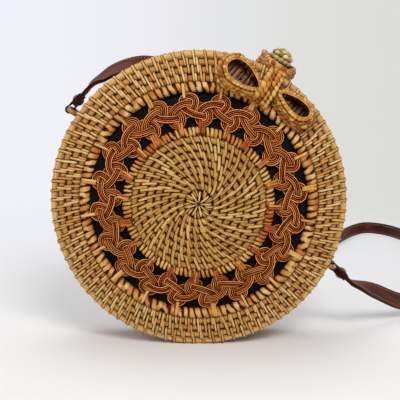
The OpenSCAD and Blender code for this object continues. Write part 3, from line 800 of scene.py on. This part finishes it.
# ---- The clasp
# A loop of the same weave comes from under the bow, over the rims and round a
# ball of paler splints, woven row on row, that a short stem holds to the wall.

clasp_ways = (rim_way, out_way, front_way)
wide_r, wide_at, small_r, small_at, loop_r = 11.4, -10.25, 5.1, 18.55, 102
ball_r, ball_at, ball_depth, stem_r = 8, 109.6, -8.65, 1.9


def by_clasp(x, r, depth):
    """Points by the clasp in mm: along the rim, out from the bag's middle, to the front."""
    return bag_middle + spanned(clasp_ways, x, r, depth)


meet = np.arccos((wide_r - small_r) / (small_at - wide_at))
a, b = linspace(meet, tau - meet, 40), linspace(-meet, meet, 20)
line = np.concatenate([np.stack([-wide_r * sin(a), wide_at + wide_r * cos(a)], -1),
                       np.stack([-small_r * sin(b), small_at + small_r * cos(b)], -1)])
x, depth = evenly(line, 120)[0].T
flow = course(np.stack([x, depth], -1), closed=True)
out = spanned(clasp_ways, flow[:, 1], 0, -flow[:, 0])
behind = np.clip((10 - depth) / 12, 0, 1)
work = Work()
for row, (rise, reach) in enumerate(((-3.4, 0.7), (-0.9, 1), (1.7, 1.15), (4.3, 1), (6.2, 0.4))):
    path = by_clasp(x, loop_r + rise * (0.45 + 0.55 * behind), depth)
    twined(work, path, out, reach=reach, thick=3, uneven=0.24, tint=(0.3, 0.9), row=row)
work.piece("closing_loop_weave", "loop", bow_finish, "closing_loop")

ball_finish = rattan("beige_splint", {0: "7c6430", 0.35: "a28a4e", 0.65: "bfa66c", 1: "dfcc98"},
                     streaks=0.5, rough=0.45, coat=0.15)
middle = by_clasp(0, ball_at, ball_depth)
work = Work()
a = np.arange(60) * tau / 60
for row, rise in enumerate(radians((-62, -33, -4, 25, 52, 74))):
    out = spanned(clasp_ways, cos(a) * cos(rise), sin(rise), sin(a) * cos(rise))
    twined(work, middle + out * (ball_r - 1.9), out, reach=0.85, thick=3.1, uneven=0.14, wave=6.2,
           tint=(0.3, 0.95), row=row)
tip = middle + spanned([out_way], linspace(6.2, ball_r - 0.1, 4))
work.sweep(tip, front_way, round_section(1.5, 10), [1, 1, 0.8, 0.3], tint=0.7, deep=0.1)
# A dark sphere inside the ball: painted shade between its splints.
a = linspace(0, pi, 14)
core = middle + spanned([out_way], -cos(a) * 6.4)
work.sweep(core, front_way, round_section(1, 24), np.maximum(sin(a), 0.02) * 6.3, tint=0, deep=1)
work.piece("ball_knot", "shell", ball_finish, "knob")

work = Work()
# The stem is painted a little darker: painted shade under the ball.
for k in range(5):
    a = linspace(0, tau * 0.9, 12) + k * tau / 5
    line = by_clasp(stem_r * cos(a), linspace(95, 103, 12), ball_depth + stem_r * sin(a))
    work.sweep(line, spanned(clasp_ways, cos(a), 0, sin(a)), round_section(0.95, 8),
               tint=0.3 + 0.1 * k, deep=0.35)
work.piece("ball_stem", "shell", ball_finish, "knob_stem")


# ---- The strap
# Two plies of dark red-brown leather, glued and sewn near both edges with pale
# thread. It runs up behind the bag, down to the floor and back to the right.

strap_half, ply_gap, groove = 6, 0.15, 4.35
ring_turns = {"left": clasp_turn + 87.5, "right": clasp_turn - 87.5}
ring_r, ring_depth, ring_corner = 104.95, -11.45, 2.95
bars = {side: on_bag(ring_r + ring_corner, turn, ring_depth) for side, turn in ring_turns.items()}
ways = {side: np.array([cos(radians(rise)), 0, sin(radians(rise))])
        for side, rise in (("left", 47), ("right", -41))}


def leaving(side, distances):
    """Points straight out from the bar of a ring, where the strap lies across it."""
    return [[*(bars[side] + d * ways[side]), 0] for d in distances]


# Each point has its place and how upright the strap stands there, 0 to 1.
rising = [[-69.5, 19.5, 179.8, 0.28], [-61, 24.5, 185.5, 0.4], [-50.7, 29.5, 189.6, 0.48],
          [-40.5, 31.5, 190.9, 0.66], [-30, 33, 189.6, 0.8], [-16.6, 38, 185.4, 0.9], [-2, 55, 168, 0.85],
          [14, 90, 134, 0.75], [30, 140, 92, 0.7], [48, 195, 50, 0.8], [72, 242, 20, 0.9],
          [98, 280, 8.5, 1]]
lying = [[x, y, strap_half, 1] for x, y in (
    (125, 316), (147, 362), (168, 406), (187, 426), (206, 410), (220, 370), (229, 315), (232, 255),
    (228, 195), (218, 142), (200, 98))]
back_up = [[178, 70, 7.5, 0.88], [152, 46, 13.5, 0.74], [129, 26, 26, 0.55]]
route = np.array(leaving("left", (4.3, 14, 20.8)) + rising + lying + back_up
                 + leaving("right", (20.8, 14, 4.3)))
# A smooth curve goes through all these points.
padded = np.concatenate([route[:1], route, route[-1:]])[:, None]
before, start, end, after = (padded[k:k + len(route) - 1] for k in range(4))
t = np.arange(9)[:, None] / 9
curve = start + t / 2 * (end - before + t * (2 * before - 5 * start + 4 * end - after
                                             + t * (3 * (start - end) + after - before)))
curve, strap_length = evenly(np.concatenate([curve.reshape(-1, 4), route[-1:]]), 700, closed=False)
line, stand = curve[:, :3], curve[:, 3]
along = course(line)
guide = np.stack([0 * stand, 1 - stand, stand], -1)
wide = unit(guide - along * (guide * along).sum(1)[:, None])
strap = np.concatenate([line, wide, np.cross(along, wide)], 1)

leather_finish, start = new_finish("strap_leather", Coat_Roughness=0.4, Specular_IOR_Level=0.12)
grain, tint, deep = start.strand()
pores = grain.node("TexVoronoi", {"Vector": grain, "Scale": 2.2}, feature="DISTANCE_TO_EDGE")
creases = grain.stretched(0.4, 1.1, 1.1).noise(1, 4, 0.6)
cloud = grain.stretched(0.05, 0.2, 0.2).noise(1)
tone = ((creases - 0.5) * 0.5 + (cloud - 0.5) * 0.9 + tint).clamped()
colour = tone.node("ValToRGB", {0: tone}, stops={0: "1e0804", 0.4: "3c140a", 0.7: "582416", 1: "7a3c24"})
dents = (pores * 6).clamped() * 0.6 + creases * 0.5
put(leather_finish, Base_Color=(deep * 0.8).mix(colour, "1a0805"),
    Roughness=((1 - pores * 2) * 0.12 + 0.34 + creases * 0.15).clamped(),
    Coat_Weight=(1 - deep) * 0.08, Bump=(dents, 0.3, 0.0003))

thread_finish, start = new_finish("waxed_thread", Specular_IOR_Level=0.3)
grain = start.node("Attribute", out="Vector", attribute_name="grain")
twist = grain.node("TexWave", {"Vector": grain, "Scale": 1.4, "Distortion": 1.5, "Detail": 1},
                   wave_type="BANDS", bands_direction="DIAGONAL")
worn = grain.stretched(0.1, 0.1, 0.1).noise(1)
put(thread_finish, Base_Color=(twist * 0.4 + worn * 0.8).clamped().mix("5c341c", "ae8258"),
    Roughness=(twist * 0.2 + 0.55).clamped(), Bump=(twist, 0.3, 0.0002))

ply_edge = [(6, 0.45, 0.9), (6, 0.95, 0.8), (5.82, 1.2, 0.35), (5.45, 1.31, 0.05), (4.75, 1.3, 0.1),
            (groove, 1.12, 0.9), (3.95, 1.3, 0.1), (2.5, 1.33, 0)]
ply_section, ply_deep = cut([(-5.9, ply_gap, 1), (5.9, ply_gap, 1), *ply_edge, (0, 1.34, 0),
                             *((-x, y, deep) for x, y, deep in ply_edge[::-1])])


def stitches(work, edge, face):
    """A row of pale stitches along the strap: edge across it, face 1 or -1."""
    at = linspace(0, strap_length, len(strap))
    for middle in np.arange(2, strap_length - 1.5, 2.3):
        reach = middle + np.array([-0.7, -0.45, 0.45, 0.7])
        held = np.stack([np.interp(reach, at, column) for column in strap.T], -1)
        path, side, up = np.split(held, 3, 1)
        aside = dice.normal(0, 0.05) + edge + linspace(-0.08, 0.08, 4)
        lift = face * np.array([1.05, 1.28, 1.28, 1.05])
        work.sweep(path + side * aside[:, None] + up * lift[:, None], up * face, round_section(0.3, 6),
                   [0.5, 1, 1, 0.5], tint=dice.uniform(0.3, 1))


for name, face in (("strap_outer", 1), ("strap_inner", -1)):
    work = Work()
    bend = sum(size * sin(linspace(0, end, len(line))) for size, end in ((0.06, 40), (0.05, 130)))
    work.sweep(line, strap[:, 6:], (ply_section * (1, face))[::face], tint=0.5 + bend,
               deep=ply_deep[::face])
    work.piece(name + "_ply", "shell", leather_finish, name)
    work = Work()
    for edge in (-groove, groove):
        stitches(work, edge, face)
    work.piece(name + "_stitches", "shell", thread_finish)


# ---- The ends of the strap
# At each end a piece of the same leather folds round the ring over both plies,
# and a rivet of dull brass goes through all of them.

fold_r, fold_half, tail = 2.42, 1.9, linspace(13, 2.2, 9)
for side, way in ways.items():
    a = linspace(radians(55), radians(305), 22)
    bulge = fold_half + 0.12 * sin(linspace(0, 3, 9))
    x = np.concatenate([tail, fold_r * cos(a), tail[::-1]])
    z = np.concatenate([bulge, fold_r * sin(a), -bulge[::-1]])
    path = bars[side] + spanned((way, np.cross(way, (0, 1, 0))), x, z)
    work = Work()
    work.sweep(path, np.cross((0, 1, 0), course(path)), (ply_section - (0, 0.7)) * (1, 0.75), tint=0.45,
               deep=ply_deep)
    work.piece("strap_end_" + side, "shell", leather_finish, "strap_fold_" + side)

brass_finish, start = new_finish("dull_brass", Metallic=1, Specular_IOR_Level=0.5)
place = start.node("TexCoord", out="Object")
tarnish = place.noise(420, 3)
scratches = place.stretched(1, 1, 6).noise(2600, 2)
put(brass_finish, Base_Color=tarnish.mix("6a4a22", "b08a48"),
    Roughness=(tarnish * 0.3 + scratches * 0.15 + 0.2).clamped(), Bump=(scratches, 0.1, 0.0001))
for side in ways:
    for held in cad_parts["strap_rivet_" + side].material_slots:
        held.material = brass_finish


# ---- The strap's rings
# A loop of whole rattan stands off the wall at each end of the strap. Three
# splints lash its foot to the coils.

ring_span, lashed_r = 11.5, 2.15
for side, at in ring_turns.items():
    tangent = outwards(1, at - 90, 0)
    a = linspace(-pi / 2, pi / 2, 12)
    run = linspace(-ring_span / 2, ring_span / 2, 14)
    bend, side_r = run[-1] + ring_corner * cos(a), ring_corner * sin(a)
    x = np.concatenate([run[:-1], bend, run[-2:0:-1], -bend])
    y = np.concatenate([np.full(13, -ring_corner), side_r, np.full(12, ring_corner), -side_r])
    k = np.arange(len(x))
    work = Work()
    work.sweep(on_bag(ring_r + y, at, ring_depth + x), tangent, round_section(1.62),
               1 + 0.02 * sin(k * 0.9), closed=True, tint=0.55 + 0.15 * sin(k * 0.7), deep=0.15)
    work.piece("strap_ring_rod_" + side, "shell", core_finish, "strap_ring_" + side)

    work = Work()
    a = linspace(pi, 0, 9)
    foot = np.array([96.8, 98.6, 100.2, 101.4])
    x = lashed_r * np.concatenate([[-1] * 4, cos(a), [1] * 4])
    r = np.concatenate([foot, 102 + lashed_r * sin(a), foot[::-1]])
    arch = np.maximum(sin((r - 101.4) / 2.75 * pi / 2), 0)
    for k in (-1, 0, 1):
        slant = linspace(-0.5, 0.5, len(x)) * dice.uniform(0.2, 0.8)
        line = on_bag(r, at, ring_depth + 1.42 * k + slant) + spanned([tangent], x)
        # Painted shade darkens each splint towards its foot by the wall.
        work.sweep(line, spanned([tangent], x / lashed_r) + outwards(arch, at, 0), splint_section,
                   1.34, 0.5, tint=dice.uniform(0.5, 0.95),
                   deep=splint_side_shade * 0.6 + np.clip((99.5 - r) / 3, 0, 1)[:, None])
    work.piece("ring_lashing_" + side, "shell", splint_finish, "ring_tie_" + side)


# ---- The hinge ties
# Opposite the clasp two lashings of splint go round both rims and let the lid swing.

core_half, corner = np.array([3.62, 6.6]) - 1.6, 1.6
a = linspace(0, pi / 2, 5)
path = evenly(np.concatenate([
    core_half * ends + corner * np.stack([cos(a + k * pi / 2), sin(a + k * pi / 2)], -1)
    for k, ends in enumerate(((1, 1), (-1, 1), (-1, -1), (1, -1)))]), 44)[0]
away = path - np.clip(path, -core_half, core_half)
for side, shift in (("left", -11.9), ("right", 11.9)):
    at = clasp_turn + 180 + shift
    work = Work()
    for k in range(6):
        turn = at + degrees((k - 2.5) * 1.5 / rim_r) + 0.35 * sin(linspace(0, tau, 45)[:-1])
        work.sweep(on_bag(rim_r + path[:, 0], turn, path[:, 1]), outwards(away[:, 0], turn, away[:, 1]),
                   splint_section, 1.42, 0.8, closed=True, tint=dice.uniform(0.3, 0.9),
                   deep=splint_side_shade * 0.7)
    lashing = work.piece("hinge_lashing_" + side, None, splint_finish, "hinge_tie_" + side)
    x, _, z = on_bag(rim_r, at, 0) * mm
    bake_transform(lashing)


# ---- Loose fibres
# Fine hairs that have split off the splints stand up here and there. Each is a
# short bent hair, given by its place and the direction in which it leaves.

def hairs(name, places):
    work = Work()
    for place, way in places:
        way = unit(way)
        bend = np.cross(way, dice.normal(0, 1, 3))
        t = linspace(0, 1, 9)[:, None]
        line = place + dice.uniform(3, 8) * (way * t + bend * 0.35 * t ** 2)
        work.sweep(line, np.cross(way, bend), round_section(0.13, 5), 1.1 - 0.8 * t,
                   tint=dice.uniform(0.5, 1))
    work.piece(name, "lid", splint_finish)


on_lid = list(zip(dice.uniform(0, 360, 26), dice.choice([96.5, 91.8, 86.3, 81, 74.5], 26)))
hairs("bow_hairs", [(on_bow(*place), dice.normal(0, 1, 3) + 0.8 * bow_up) for place in zip(
    dice.uniform(-30, 30, 12), dice.uniform(-9, 9, 12), dice.uniform(8, 10, 12))])
hairs("lid_hairs", [(on_bag(r, turn, dome(r) + 2.6),
                     outwards(0.6, turn + 70 * dice.choice([-1, 1]), 0.5)) for turn, r in on_lid])


# ---- The lining
# Dark cotton cloth in both halves, cut as a disc and eased up the wall. It is
# glued behind the coils, so it follows them with small puckers.

cloth_finish, start = new_finish("cotton", Specular_IOR_Level=0.12, Sheen_Weight=0.05)
place = start.node("TexCoord", out="Object")
threads = [place.node("TexWave", {"Vector": place, "Scale": 900, "Distortion": 0.6, "Detail": 1},
                      wave_type="BANDS", bands_direction=axis) for axis in ("X", "Z")]
weave = threads[0] + threads[1]
mottle = place.noise(60, 3)
put(cloth_finish, Base_Color=(mottle + weave * 0.15).clamped().mix("080606", "14100e"),
    Roughness=(weave * 0.1 + 0.8).clamped(), Bump=(weave, 0.3, 0.0002))


def lining(half, body, rise, side):
    """A cup of cloth under the coils: side is 1 in the lid and -1 in the back."""
    under, around, across, up = coil_r + 0.75, 120, 34, 8
    wall, hem = rim_r - under, 8.4
    r = np.concatenate([linspace(0.5, wall, across), np.full(up, wall)])[:, None]
    depth = dome(r, rise) - under / cos(slope(r, rise))
    depth[across - 1:, 0] = linspace(depth[-1, 0], hem, up + 1)
    turns = np.arange(around) * 360 / around
    pucker = 0.12 * sin(radians(turns) * 31 + 2 * sin(radians(turns) * 7))
    shift = linspace(0, 1, across + up)[:, None] ** 2 * pucker
    grid = on_bag(r - shift * (r > 80), turns, (depth - 0.3 * np.abs(shift)) * side)
    faces = ring_faces(across + up, around)[:, ::side].tolist() + [list(range(around))[::-side]]
    made = formed(half + "_cloth", grid.reshape(-1, 3) * mm, faces, cloth_finish)
    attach(made, body)
    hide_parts(half + "_lining")


lining("lid", "lid", lid_rise, 1)
lining("rear", "shell", back_rise, -1)
